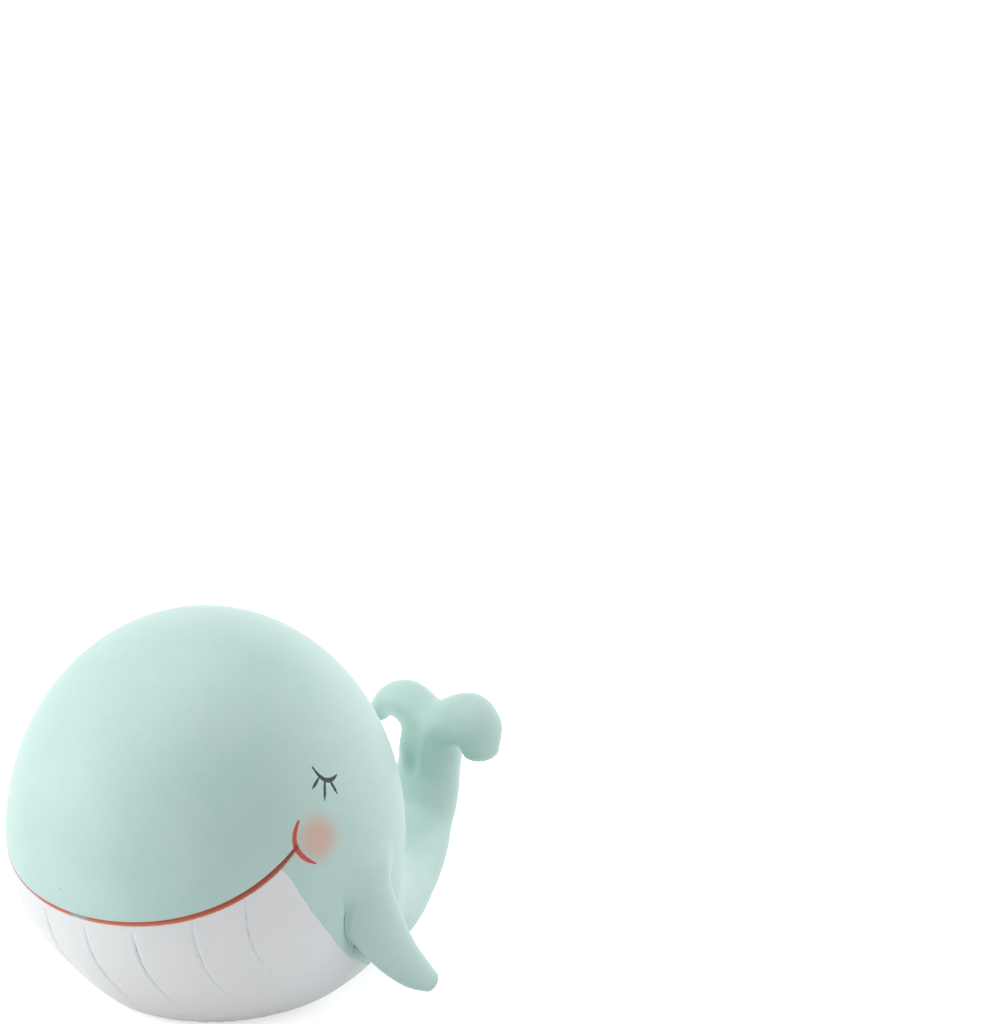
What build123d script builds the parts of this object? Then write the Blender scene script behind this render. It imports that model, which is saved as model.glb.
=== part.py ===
from build123d import *
from math import asin, cos, pi, radians, sin, sqrt, tan
import os

# A hand-painted cast-resin whale ornament, lying level.
# Origin: centre of the underside, on the table. The whale faces -Y, its left is +X and +Z is up.
# All sizes are in millimetres.

# Egg-shaped hollow body
head_radius = 50.0            # half width at the widest level
crown_rise = 57.4             # crown above the widest level
widest_z = 42.0               # widest level above the table
base_radius = 26.4            # flat underside
wall = 6.0                    # thickness of the hollow castings
floor_thickness = 6.0

# Split between the mint back and the white throat, as heights and lengths seen from the side
mouth_front_z = 35.6          # lip line at the middle of the face
mouth_corner_y = -15.0        # where the lip line ends
mouth_corner_z = 55.5
mouth_sag = 3.0               # how far the lip line hangs below its chord
throat_rear_y = 39.0          # where the throat ends under the tail
throat_rear_z = 4.6
throat_rear_sag = 11.5        # how far the throat's rear edge bows forward
throat_corner_round = 3.5

# Carved lines: the mouth groove along the lips and the pleats of the throat
mouth_groove_width = 1.6
mouth_groove_depth = 0.7
pleat_offsets = (7.0, 20.5, 33.0, 41.5)  # planes on both sides of the middle
pleat_width = 0.8
pleat_depth = 0.6
pleat_below_lip = 3.0
pleat_drop = 23.0             # length of a pleat, down from its start
pleat_end_y = -12.0           # no pleat runs further back

# Pouring hole in the underside, with its plug and felt pad
pour_hole_radius = 12.0
plug_ledge = 4.0
plug_thickness = 2.0
plug_clearance = 0.1
pad_thickness = 1.0
pad_inset = 4.4               # from the edge of the underside

# Tail stock, which leaves the back of the body low down and turns up
tail_gap = 29.0               # axis of the neck behind the back of the head
neck_z = 41.0                 # top of the tail stock, where the fluke is joined
neck_half_width = 7.7
neck_half_depth = 6.3
tail_root_y = 16.0            # buried start of the tail's axis
tail_root_z = 22.0
tail_low_z = 14.7             # pulls the axis down behind the body
tail_turn_z = 10.2            # pulls the axis up towards the neck
tail_root_half_width = 41.0
tail_root_half_depth = 20.0
tail_flare_half_width = 37.0  # a quarter of the way along, where the tail spreads on to the body
tail_flare_half_depth = 17.9
tail_middle_half_width = 23.4
tail_middle_half_depth = 14.2
tail_rise_half_width = 12.6   # three quarters of the way along
tail_rise_half_depth = 8.6

# Fluke, two drooping lobes
lobe_reach = 19.6             # lobe tip from the middle
lobe_shoulder = 15.7          # pull that carries the lobe outwards
lobe_crown_rise = 15.8        # pull that lifts the lobe above the neck
lobe_tip_rise = 6.5
lobe_lean = 3.6               # crown of the lobe behind the neck
lobe_root_offset = 1.2
lobe_root_half_width = 7.0
lobe_root_half_depth = 6.2
lobe_tip_half_width = 5.6
lobe_tip_half_depth = 4.2
lobe_section_count = 5
fluke_neck_height = 4.5       # short neck below the lobes

# Side fins, which lie along the flanks and leave them towards the tip
fin_top_inset = 7.0           # buried start of the fin's axis, inside the widest side
fin_top_y = 5.5
fin_top_z = 42.0
fin_shoulder_inset = 0.2      # pulls the axis out of the flank
fin_shoulder_y = 8.5
fin_shoulder_z = 33.5
fin_belly_stand = 0.4         # pulls the axis down, outside the widest side
fin_belly_y = 16.0
fin_belly_z = 19.5
fin_tip_stand = 1.2
fin_tip_y = 25.9
fin_tip_z = 10.2
fin_tilt = 37.0               # of the fin's width from level, in degrees
fin_root_half_width = 10.6
fin_root_half_thickness = 4.8
fin_tip_half_width = 4.6
fin_tip_half_thickness = 2.9
fin_section_count = 4

# Steel pins inside the glued joints
pin_radius = 1.5
pin_clearance = 0.1
body_pin_depth = 5.0
tail_pin_length = 17.0
tail_pin_z = 17.0
fin_pin_length = 9.0
fin_pin_share = 0.42          # place of the pin along the fin's axis
fluke_pin_depth = 6.5         # on each side of the neck joint

# Worked out from the sizes above
base_z = pad_thickness
belly_drop = (widest_z - base_z) / sqrt(1 - (base_radius / head_radius) ** 2)
cut_margin = 10.0
neck_y = head_radius + tail_gap
neck_centre = Vector(0, neck_y, neck_z)
across = Vector(1, 0, 0)
backwards = Vector(0, 1, 0)
up = Vector(0, 0, 1)
side_view = Plane(origin=(0, 0, 0), x_dir=backwards, z_dir=across)


def egg_half_width(z):
    """Half width of the body at a level below its widest one."""
    return head_radius * sqrt(1 - ((widest_z - z) / belly_drop) ** 2)


def oval_arc(half_width, half_height, start, end):
    """Stretch of an oval centred on the axis at the widest level, between two angles."""
    pull = 4 / 3 * tan((end - start) / 4)
    unit_points = (
        (cos(start), sin(start)),
        (cos(start) - pull * sin(start), sin(start) + pull * cos(start)),
        (cos(end) + pull * sin(end), sin(end) - pull * cos(end)),
        (cos(end), sin(end)),
    )
    return Bezier(*[(x * half_width, widest_z + y * half_height) for x, y in unit_points])


def egg(inset, bottom_z):
    """The egg form, drawn in by an inset and cut flat at a level."""
    radius = head_radius - inset
    drop = belly_drop - inset
    crown = oval_arc(radius, crown_rise - inset, 0, pi / 2)
    belly = oval_arc(radius, drop, -asin((widest_z - bottom_z) / drop), 0)
    axis_and_base = Polyline(crown @ 1, (0, bottom_z), belly @ 0)
    half_side = make_face([crown, belly, *axis_and_base.edges()])
    return revolve(side_view * half_side, Axis.Z)


def sagged_arc(start, end, sag):
    """Side-view arc that bows to the right of its chord by the sag."""
    chord = Vector(*end) - Vector(*start)
    bow = Vector(chord.Y, -chord.X).normalized() * sag
    return ThreePointArc(start, Vector(*start) + chord * 0.5 + bow, end)


def lip_line():
    """Side-view lip line, from ahead of the nose to the mouth's corner."""
    front_y = -head_radius - cut_margin
    slope = (mouth_corner_z - mouth_front_z) / (mouth_corner_y + head_radius)
    front = (front_y, mouth_front_z - cut_margin * slope / 2)
    return sagged_arc(front, (mouth_corner_y, mouth_corner_z), mouth_sag)


def across_body(face):
    """Solid made by carrying a side-view face across the whole width."""
    return extrude(side_view * face, amount=head_radius + cut_margin, both=True)


def throat_side():
    """Side-view face below the lip line and ahead of the throat's rear edge."""
    lip = lip_line()
    front = lip @ 0
    rear = (throat_rear_y, throat_rear_z)
    rear_edge = sagged_arc((mouth_corner_y, mouth_corner_z), rear, throat_rear_sag)
    below = Polyline(rear, (throat_rear_y, -cut_margin), (front.X, -cut_margin), front)
    face = make_face([lip, rear_edge, *below.edges()])
    corner = face.vertices().sort_by(Axis.Y)[-1]
    return fillet(corner, throat_corner_round)


def mouth_groove():
    """Carved groove that follows the lip line over the surface."""
    lip = lip_line()
    half = mouth_groove_width / 2
    above = Pos(0, half) * lip
    beneath = Pos(0, -half) * lip
    ends = [Line(above @ 0, beneath @ 0), Line(above @ 1, beneath @ 1)]
    band = make_face([above, beneath, *ends])
    return across_body(band) - egg(mouth_groove_depth, base_z)


def pleats():
    """Thin grooves along the throat, each in a plane beside the middle."""
    reach = head_radius + cut_margin
    ahead = Pos(pleat_end_y - reach / 2, reach / 2) * Rectangle(reach, 2 * reach)
    side_face = Pos(0, -pleat_below_lip) * throat_side() & ahead
    side_face -= Pos(0, -pleat_below_lip - pleat_drop) * throat_side()
    band = across_body(side_face) - egg(pleat_depth, base_z)
    slices = []
    for offset in pleat_offsets:
        for side in (1, -1):
            slices.append(Pos(side * offset, 0, 0) * Box(pleat_width, 2 * reach, 4 * reach) & band)
    return slices


def oval(centre, normal, half_width, half_depth, width_dir):
    """Oval face square to a direction, with its width along another."""
    level_dir = width_dir - normal * width_dir.dot(normal)
    return Plane(origin=centre, x_dir=level_dir, z_dir=normal) * Ellipse(half_width, half_depth)


def graded(start, end, count):
    """Evenly graded sizes from a start to an end."""
    return [start + (end - start) * i / (count - 1) for i in range(count)]


def oval_loft(path, half_widths, half_depths, width_dir):
    """Solid through evenly spaced ovals along a path."""
    last = len(half_widths) - 1
    ovals = []
    for i in range(last + 1):
        place = path @ (i / last)
        heading = path % (i / last)
        ovals.append(oval(place, heading, half_widths[i], half_depths[i], width_dir))
    return loft(ovals)


def limb(path, half_widths, half_depths, width_dir):
    """Tapered limb along a path that ends in a rounded tip."""
    tip_width = half_widths[-1]
    tip_depth = half_depths[-1]
    heading = path % 1
    upper_half = Pos(0, 0, tip_depth) * Box(4 * tip_depth, 4 * tip_depth, 2 * tip_depth)
    dome = scale(Sphere(tip_depth) & upper_half, by=(tip_width / tip_depth, 1, 1))
    level_dir = width_dir - heading * width_dir.dot(heading)
    tip = Plane(origin=path @ 1, x_dir=level_dir, z_dir=heading) * dome
    return oval_loft(path, half_widths, half_depths, width_dir) + tip


def tail_stock():
    """Tail from inside the body to the neck, before it is seated on the body."""
    path = Bezier((0, tail_root_y, tail_root_z), (0, head_radius, tail_low_z),
                  (0, neck_y, tail_turn_z), neck_centre)
    widths = (tail_root_half_width, tail_flare_half_width, tail_middle_half_width,
              tail_rise_half_width, neck_half_width)
    depths = (tail_root_half_depth, tail_flare_half_depth, tail_middle_half_depth,
              tail_rise_half_depth, neck_half_depth)
    return oval_loft(path, widths, depths, across)


def lobe(side):
    """One lobe of the fluke, rising from the neck and drooping outwards."""
    outwards = across * side
    root = neck_centre + outwards * lobe_root_offset
    crown = neck_centre + outwards * lobe_shoulder + backwards * lobe_lean
    tip = neck_centre + outwards * lobe_reach
    path = Bezier(root - up * lobe_root_half_depth,
                  root + backwards * lobe_lean / 2 + up * lobe_crown_rise / 2,
                  crown + up * lobe_crown_rise,
                  tip + up * lobe_tip_rise)
    depths = graded(lobe_root_half_depth, lobe_tip_half_depth, lobe_section_count)
    widths = graded(lobe_root_half_width, lobe_tip_half_width, lobe_section_count)
    return limb(path, depths, widths, backwards)


def tail_fluke():
    """Both lobes and the short neck that meets the tail stock."""
    neck_path = Line(neck_centre, neck_centre + up * fluke_neck_height)
    neck_widths = (neck_half_width, lobe_root_half_width + lobe_root_offset)
    neck_depths = (neck_half_depth, lobe_root_half_depth)
    neck = oval_loft(neck_path, neck_widths, neck_depths, across)
    reach = 2 * (lobe_reach + cut_margin)
    below_joint = Pos(0, neck_y, neck_z - reach / 2) * Box(reach, reach, reach)
    return neck + (lobe(1) + lobe(-1) - below_joint)


def fin_path(side):
    """Axis of a fin, from its buried root to its tip."""
    return Bezier((side * (head_radius - fin_top_inset), fin_top_y, fin_top_z),
                  (side * (head_radius - fin_shoulder_inset), fin_shoulder_y, fin_shoulder_z),
                  (side * (head_radius + fin_belly_stand), fin_belly_y, fin_belly_z),
                  (side * (head_radius + fin_tip_stand), fin_tip_y, fin_tip_z))


def fin(side):
    """One side fin, before it is seated on the body."""
    tilt = radians(fin_tilt)
    width_dir = backwards * cos(tilt) + up * sin(tilt)
    widths = graded(fin_root_half_width, fin_tip_half_width, fin_section_count)
    thicknesses = graded(fin_root_half_thickness, fin_tip_half_thickness, fin_section_count)
    return limb(fin_path(side), widths, thicknesses, width_dir)


def rod(start, heading, length, radius):
    """Round rod from a point along a heading."""
    return extrude(Plane(origin=start, z_dir=heading) * Circle(radius), amount=length)


def pin(start, heading, length):
    """Steel pin."""
    return rod(start, heading, length, pin_radius)


def pin_hole(start, heading, length):
    """Hole that holds a pin with the glue's clearance all round."""
    low_end = start - heading * pin_clearance
    return rod(low_end, heading, length + 2 * pin_clearance, pin_radius + pin_clearance)


def disc(radius, bottom_z, thickness):
    """Flat round disc on the body's axis."""
    return Pos(0, 0, bottom_z) * extrude(Circle(radius), amount=thickness)


# Where each pin starts, which way it runs and how long it is
pins = {
    "tail_pin": (backwards * (egg_half_width(tail_pin_z) - body_pin_depth) + up * tail_pin_z,
                 backwards, tail_pin_length),
    "fluke_pin": (neck_centre - up * fluke_pin_depth, up, 2 * fluke_pin_depth),
}
for side, word in ((1, "left"), (-1, "right")):
    middle = fin_path(side) @ fin_pin_share
    outwards = Vector(middle.X, middle.Y, 0).normalized()
    start = outwards * (egg_half_width(middle.Z) - body_pin_depth) + up * middle.Z
    pins[word + "_fin_pin"] = (start, outwards, fin_pin_length)

# Hollow body, split into the back and the throat
body = egg(0, base_z)
shell = body - egg(wall, base_z + floor_thickness)
throat = across_body(throat_side())
plug_radius = pour_hole_radius + plug_ledge
groove = mouth_groove()
tail = tail_stock()
back_casting = shell - throat - groove
throat_casting = (shell & throat) - groove - pleats()
throat_casting -= disc(pour_hole_radius, base_z, floor_thickness)
throat_casting -= disc(plug_radius + plug_clearance, base_z, plug_thickness)

nodes = {
    "back_casting": back_casting,
    "throat_casting": throat_casting,
    "tail_stock": tail - body,
    "tail_fluke": tail_fluke(),
    "left_fin": fin(1) - body - tail,
    "right_fin": fin(-1) - body - tail,
    "base_plug": disc(plug_radius, base_z, plug_thickness),
    "base_pad": disc(base_radius - pad_inset, 0, pad_thickness),
}
for name in ("back_casting", "tail_stock", "tail_fluke", "left_fin", "right_fin"):
    for place in pins.values():
        nodes[name] -= pin_hole(*place)
for name, place in pins.items():
    nodes[name] = pin(*place)

os.makedirs("parts", exist_ok=True)
for name, solid in nodes.items():
    export_step(solid, "parts/" + name + ".step")
    print(name, "valid" if solid.is_valid else "NOT VALID", round(solid.volume), "mm3")
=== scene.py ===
import sys
import logging
import math
from dataclasses import dataclass, field
from enum import Enum
from typing import Callable

import bmesh
import bpy
import numpy as np
from mathutils import Matrix, Vector


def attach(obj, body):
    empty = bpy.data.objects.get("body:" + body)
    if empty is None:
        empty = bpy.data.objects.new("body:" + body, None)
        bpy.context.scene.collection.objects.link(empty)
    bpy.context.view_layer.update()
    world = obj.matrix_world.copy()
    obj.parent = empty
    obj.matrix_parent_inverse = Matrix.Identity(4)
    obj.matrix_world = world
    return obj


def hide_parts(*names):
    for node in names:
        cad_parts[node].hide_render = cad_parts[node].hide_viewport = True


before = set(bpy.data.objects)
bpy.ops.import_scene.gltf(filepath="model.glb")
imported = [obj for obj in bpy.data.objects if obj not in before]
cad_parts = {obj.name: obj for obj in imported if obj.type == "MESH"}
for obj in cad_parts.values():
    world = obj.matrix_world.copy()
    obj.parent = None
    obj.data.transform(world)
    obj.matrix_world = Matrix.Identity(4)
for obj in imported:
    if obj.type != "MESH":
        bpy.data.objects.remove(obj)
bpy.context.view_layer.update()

# A hand-painted cast-resin whale ornament. It faces -Y, its left is +X and +Z is up.
# Shapes are worked out in millimetres and turned to metres when a mesh is made.

LOG = logging.getLogger("whale_ornament")
MM = 0.001
Triple = tuple[float, float, float]
Measure = Callable[[np.ndarray], np.ndarray]


class Side(Enum):
    """The whale's own left and right."""

    LEFT = 1
    RIGHT = -1

    @property
    def word(self) -> str:
        """The side's name in a piece's name."""
        return self.name.lower()


def ease(low: float, high: float, value: np.ndarray) -> np.ndarray:
    """Soft step.

    Args:
        low: where the step starts.
        high: where it ends.
        value: what is measured.

    Returns:
        0 before the start, 1 after the end and a smooth rise between them.
    """
    share = np.clip((value - low) / (high - low), 0, 1)
    return share * share * (3 - 2 * share)


def soft_union(first: np.ndarray, second: np.ndarray, reach: np.ndarray | float) -> np.ndarray:
    """Two distances joined with a fillet.

    Args:
        first: distances to one form.
        second: distances to the other form.
        reach: how far the fillet spreads.

    Returns:
        Distances to both forms as one.
    """
    share = np.maximum(reach - np.abs(first - second), 0) / reach
    return np.minimum(first, second) - share * share * reach / 4


def along_curve(controls: np.ndarray, shares: np.ndarray) -> np.ndarray:
    """Points on a Bezier curve.

    Args:
        controls: the curve's control points.
        shares: places along it, from 0 to 1.

    Returns:
        One point for each place.
    """
    order = len(controls) - 1
    shares = shares[:, None]
    total = np.zeros((len(shares), controls.shape[1]))
    for i, control in enumerate(controls):
        total += math.comb(order, i) * (1 - shares) ** (order - i) * shares ** i * control
    return total


@dataclass
class Skin:
    """A sheet of triangles, in millimetres."""

    points: np.ndarray
    faces: np.ndarray

    def edges(self) -> tuple[np.ndarray, np.ndarray]:
        """Edges of the sheet.

        Returns:
            Each edge once, and the three edges of every face.
        """
        pairs = np.sort(self.faces[:, [[0, 1], [1, 2], [2, 0]]].reshape(-1, 2), axis=1)
        keys = pairs[:, 0].astype(np.int64) * len(self.points) + pairs[:, 1]
        unique, back = np.unique(keys, return_inverse=True)
        return np.stack([unique // len(self.points), unique % len(self.points)], 1), back.reshape(-1, 3)

    def turned(self, first: np.ndarray, chosen: np.ndarray,
               of_face: np.ndarray) -> tuple[np.ndarray, np.ndarray]:
        """Some faces, each with its corners turned round.

        Args:
            first: which corner comes first, for each chosen face.
            chosen: the faces that are wanted.
            of_face: a row of three for every face, which turns along.

        Returns:
            The turned corners and the turned rows.
        """
        order = (first[:, None] + np.arange(3)) % 3
        rows = np.take_along_axis(of_face[chosen], order, 1)
        return np.take_along_axis(self.faces[chosen], order, 1), rows

    def refined(self, wanted: Measure, settle: Measure) -> "Skin":
        """A finer sheet, with every edge that is too long cut in two.

        Args:
            wanted: the longest edge allowed at some points.
            settle: moves new points onto the surface.

        Returns:
            The finer sheet.
        """
        edges, of_face = self.edges()
        ends = self.points[edges]
        middle = ends.mean(1)
        long = np.linalg.norm(ends[:, 0] - ends[:, 1], axis=1) > wanted(middle)
        number = np.full(len(edges), -1)
        number[long] = len(self.points) + np.arange(long.sum())
        middles = number[of_face]
        count = (middles >= 0).sum(1)
        faces = [self.faces[count == 0]]
        one = count == 1
        corner, mid = self.turned(np.argmax(middles[one] >= 0, 1), one, middles)
        faces += [np.stack([corner[:, 0], mid[:, 0], corner[:, 2]], 1)]
        faces += [np.stack([mid[:, 0], corner[:, 1], corner[:, 2]], 1)]
        two = count == 2
        corner, mid = self.turned((np.argmin(middles[two] >= 0, 1) + 1) % 3, two, middles)
        faces += [np.stack([mid[:, 0], corner[:, 1], mid[:, 1]], 1)]
        faces += [np.stack([corner[:, 0], mid[:, 0], mid[:, 1]], 1)]
        faces += [np.stack([corner[:, 0], mid[:, 1], corner[:, 2]], 1)]
        three = count == 3
        corner, mid = self.faces[three], middles[three]
        faces += [np.stack([corner[:, i], mid[:, i], mid[:, i - 1]], 1) for i in range(3)] + [mid]
        return Skin(np.vstack([self.points, settle(middle[long])]), np.vstack(faces))

    def kept(self, level: np.ndarray) -> "Skin":
        """The part of the sheet where a level is above zero, cut along its zero line.

        Args:
            level: the level at each point.

        Returns:
            The part that is kept.
        """
        edges, of_face = self.edges()
        start, end = level[edges[:, 0]], level[edges[:, 1]]
        cut = (start > 0) != (end > 0)
        share = (start[cut] / (start[cut] - end[cut]))[:, None]
        ends = self.points[edges[cut]]
        points = np.vstack([self.points, ends[:, 0] * (1 - share) + ends[:, 1] * share])
        number = np.full(len(edges), -1)
        number[cut] = len(self.points) + np.arange(cut.sum())
        above = level[self.faces] > 0
        count = above.sum(1)
        faces = [self.faces[count == 3]]
        one = count == 1
        corner, mid = self.turned(np.argmax(above[one], 1), one, number[of_face])
        faces += [np.stack([corner[:, 0], mid[:, 0], mid[:, 2]], 1)]
        two = count == 2
        corner, mid = self.turned(np.argmin(above[two], 1), two, number[of_face])
        faces += [np.stack([mid[:, 0], corner[:, 1], corner[:, 2]], 1)]
        faces += [np.stack([mid[:, 0], corner[:, 2], mid[:, 2]], 1)]
        return Skin(points, np.vstack(faces)).packed()

    def packed(self) -> "Skin":
        """The sheet without points that no face uses."""
        used, faces = np.unique(self.faces, return_inverse=True)
        return Skin(self.points[used], faces.reshape(-1, 3))

    def rim(self) -> np.ndarray:
        """Edges with a face on one side only.

        Returns:
            Each edge's two points, in the order that its face has them.
        """
        pairs = self.faces[:, [[0, 1], [1, 2], [2, 0]]].reshape(-1, 2)
        back = self.edges()[1].reshape(-1)
        return pairs[np.bincount(back)[back] == 1]

    def shelled(self, inner: np.ndarray) -> "Skin":
        """A closed shell between the sheet and an inner copy of it.

        Args:
            inner: where each point of the copy lies.

        Returns:
            The closed shell, with the sheet's own points first.
        """
        more = len(self.points)
        start, end = self.rim().T
        faces = [self.faces, self.faces[:, ::-1] + more]
        faces += [np.stack([end, start, start + more], 1), np.stack([end, start + more, end + more], 1)]
        return Skin(np.vstack([self.points, inner]), np.vstack(faces))

    def capped(self, tips: list[Triple]) -> "Skin":
        """The sheet with each open rim closed towards the nearest tip.

        Args:
            tips: points inside the solid, one for each rim.

        Returns:
            The closed solid, with the sheet's own points first.
        """
        start, end = self.rim().T
        away = np.linalg.norm(self.points[start][:, None] - np.array(tips), axis=2)
        nearest = len(self.points) + np.argmin(away, 1)
        fans = np.stack([end, start, nearest], 1)
        return Skin(np.vstack([self.points, tips]), np.vstack([self.faces, fans]))

    def normals(self) -> np.ndarray:
        """Direction out of the sheet at each point.

        Returns:
            The mean direction of the faces round each point.
        """
        corner = self.points[self.faces]
        across = np.repeat(np.cross(corner[:, 1] - corner[:, 0], corner[:, 2] - corner[:, 0]), 3, axis=0)
        owner, count = self.faces.ravel(), len(self.points)
        total = np.stack([np.bincount(owner, across[:, i], count) for i in range(3)], 1)
        return total / np.maximum(np.linalg.norm(total, axis=1, keepdims=True), 1e-9)

    def evened(self, settle: Measure, turns: int = 4) -> "Skin":
        """The sheet with its points spread more evenly over the surface.

        Args:
            settle: moves points onto the surface.
            turns: how many times the points are spread.

        Returns:
            The evened sheet.
        """
        points = settle(self.points)
        edges = self.edges()[0]
        both = np.vstack([edges, edges[:, ::-1]])
        owner, count = both[:, 0], len(points)
        share = 1 / np.bincount(owner, minlength=count)[:, None]
        for _ in range(turns):
            beside = points[both[:, 1]]
            total = np.stack([np.bincount(owner, beside[:, i], count) for i in range(3)], 1)
            points = settle(points + 0.5 * (total * share - points))
        return Skin(points, self.faces)


class Form:
    """A solid known by its distance, which is below zero inside, in millimetres."""

    def distance(self, points: np.ndarray) -> np.ndarray:
        """Distance from each point to the solid."""
        raise NotImplementedError

    def normal(self, points: np.ndarray) -> np.ndarray:
        """Direction straight out of the solid.

        Args:
            points: points near the surface.

        Returns:
            One unit direction for each point.
        """
        slope = np.empty_like(points)
        for axis in range(3):
            step = np.eye(3)[axis] * 0.05
            slope[:, axis] = self.distance(points + step) - self.distance(points - step)
        return slope / np.maximum(np.linalg.norm(slope, axis=1, keepdims=True), 1e-9)

    def settled(self, points: np.ndarray) -> np.ndarray:
        """Moves points onto the surface.

        Args:
            points: points near the surface.

        Returns:
            The moved points.
        """
        for _ in range(3):
            points = points - self.distance(points)[:, None] * self.normal(points)
        return points

    def skin(self, low: Triple, high: Triple, step: float) -> Skin:
        """The solid's surface inside a box.

        Args:
            low: the box's lowest corner.
            high: its highest corner.
            step: spacing of the points.

        Returns:
            The surface, evened out.
        """
        axes = [np.arange(start, end + step, step) for start, end in zip(low, high)]
        grid = np.stack(np.meshgrid(*axes, indexing="ij"), axis=-1)
        inside = self.distance(grid.reshape(-1, 3)).reshape(grid.shape[:3]) < 0
        ends = [slice(None, -1), slice(1, None)]
        full = sum(inside[i, j, k].astype(int) for i in ends for j in ends for k in ends)
        mixed = (full > 0) & (full < 8)
        number = np.full(mixed.shape, -1)
        number[mixed] = np.arange(mixed.sum())
        quads = []
        for axis in range(3):
            solid, cell = np.moveaxis(inside, axis, 0), np.moveaxis(number, axis, 0)
            here, there = solid[:-1, 1:-1, 1:-1], solid[1:, 1:-1, 1:-1]
            ring = np.stack([cell[:, :-1, :-1], cell[:, 1:, :-1], cell[:, 1:, 1:], cell[:, :-1, 1:]], -1)
            ring = ring[..., ::-1] if axis == 1 else ring
            quads += [ring[here & ~there], ring[there & ~here][:, ::-1]]
        quads = np.vstack(quads)
        faces = np.vstack([quads[:, [0, 1, 2]], quads[:, [0, 2, 3]]])
        return Skin(grid[:-1, :-1, :-1][mixed] + step / 2, faces).evened(self.settled)


@dataclass
class Egg(Form):
    """The body's egg, flat underneath."""

    radius: float = 50.0
    crown_rise: float = 57.4
    belly_drop: float = 48.28
    widest_z: float = 42.0
    base_z: float = 1.0
    flank_swell: float = 2.4
    flank_place: Triple = (36, 12, 8)
    flank_spread: Triple = (17, 15, 13)
    chin_slack: float = 1.7
    chin_place: Triple = (14, -36, 11)
    chin_spread: Triple = (24, 16, 12)

    def scaled(self, points: np.ndarray) -> tuple[np.ndarray, np.ndarray]:
        """Points measured in the egg's own half sizes.

        Args:
            points: points in millimetres.

        Returns:
            The points on that scale, and the half sizes at each.
        """
        offset = points - (0, 0, self.widest_z)
        half = np.full_like(points, self.radius)
        half[:, 2] = np.where(offset[:, 2] > 0, self.crown_rise, self.belly_drop)
        return offset / half, half

    def distance(self, points: np.ndarray) -> np.ndarray:
        """Distance to the egg.

        Args:
            points: any points.

        Returns:
            One distance for each point.
        """
        share, half = self.scaled(points)
        size = np.linalg.norm(share, axis=1)
        slope = np.linalg.norm(share / half, axis=1)
        round_part = size * (size - 1) / np.maximum(slope, 1e-6) - self.fullness(points)
        return np.maximum(round_part, self.base_z - points[:, 2])

    def fullness(self, points: np.ndarray) -> np.ndarray:
        """How far the surface stands off a true egg.

        Args:
            points: points near the egg.

        Returns:
            Above zero on the full low flanks, and below zero on the flatter chin.
        """
        across, y, z = np.abs(points[:, 0]), points[:, 1], points[:, 2]
        mirrored = np.stack([across, y, z], 1)
        flank = (((mirrored - self.flank_place) / self.flank_spread) ** 2).sum(1)
        chin = (((mirrored - self.chin_place) / self.chin_spread) ** 2).sum(1)
        return self.flank_swell * np.exp(-flank) - self.chin_slack * np.exp(-chin)

    def width_at(self, level: np.ndarray) -> np.ndarray:
        """Half width of the egg at each level."""
        rise = np.where(level > self.widest_z, self.crown_rise, self.belly_drop)
        return self.radius * np.sqrt(np.maximum(1 - ((level - self.widest_z) / rise) ** 2, 0))

    def rounded(self, points: np.ndarray) -> np.ndarray:
        """Moves points onto the true egg, or level with its flat underside.

        Args:
            points: points near the egg.

        Returns:
            The moved points.
        """
        share, half = self.scaled(points)
        on_egg = share / np.linalg.norm(share, axis=1, keepdims=True) * half + (0, 0, self.widest_z)
        flat = on_egg[:, 2] < self.base_z
        on_egg[flat, :2] = points[flat, :2]
        on_egg[flat, 2] = self.base_z
        return on_egg

    def shell_skin(self, level: int) -> Skin:
        """The whole egg as even triangles.

        Args:
            level: how often a twenty-sided ball is divided.

        Returns:
            The egg's surface.
        """
        ball = bmesh.new()
        bmesh.ops.create_icosphere(ball, subdivisions=level, radius=1.0)
        points = np.array([v.co for v in ball.verts])
        faces = np.array([[v.index for v in f.verts] for f in ball.faces])
        ball.free()
        half_height = np.where(points[:, 2] > 0, self.crown_rise, self.belly_drop)
        points = points * np.stack([np.full(len(points), self.radius)] * 2 + [half_height], 1)
        points[:, 2] = np.maximum(points[:, 2] + self.widest_z, self.base_z)
        return Skin(points, faces)


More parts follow.
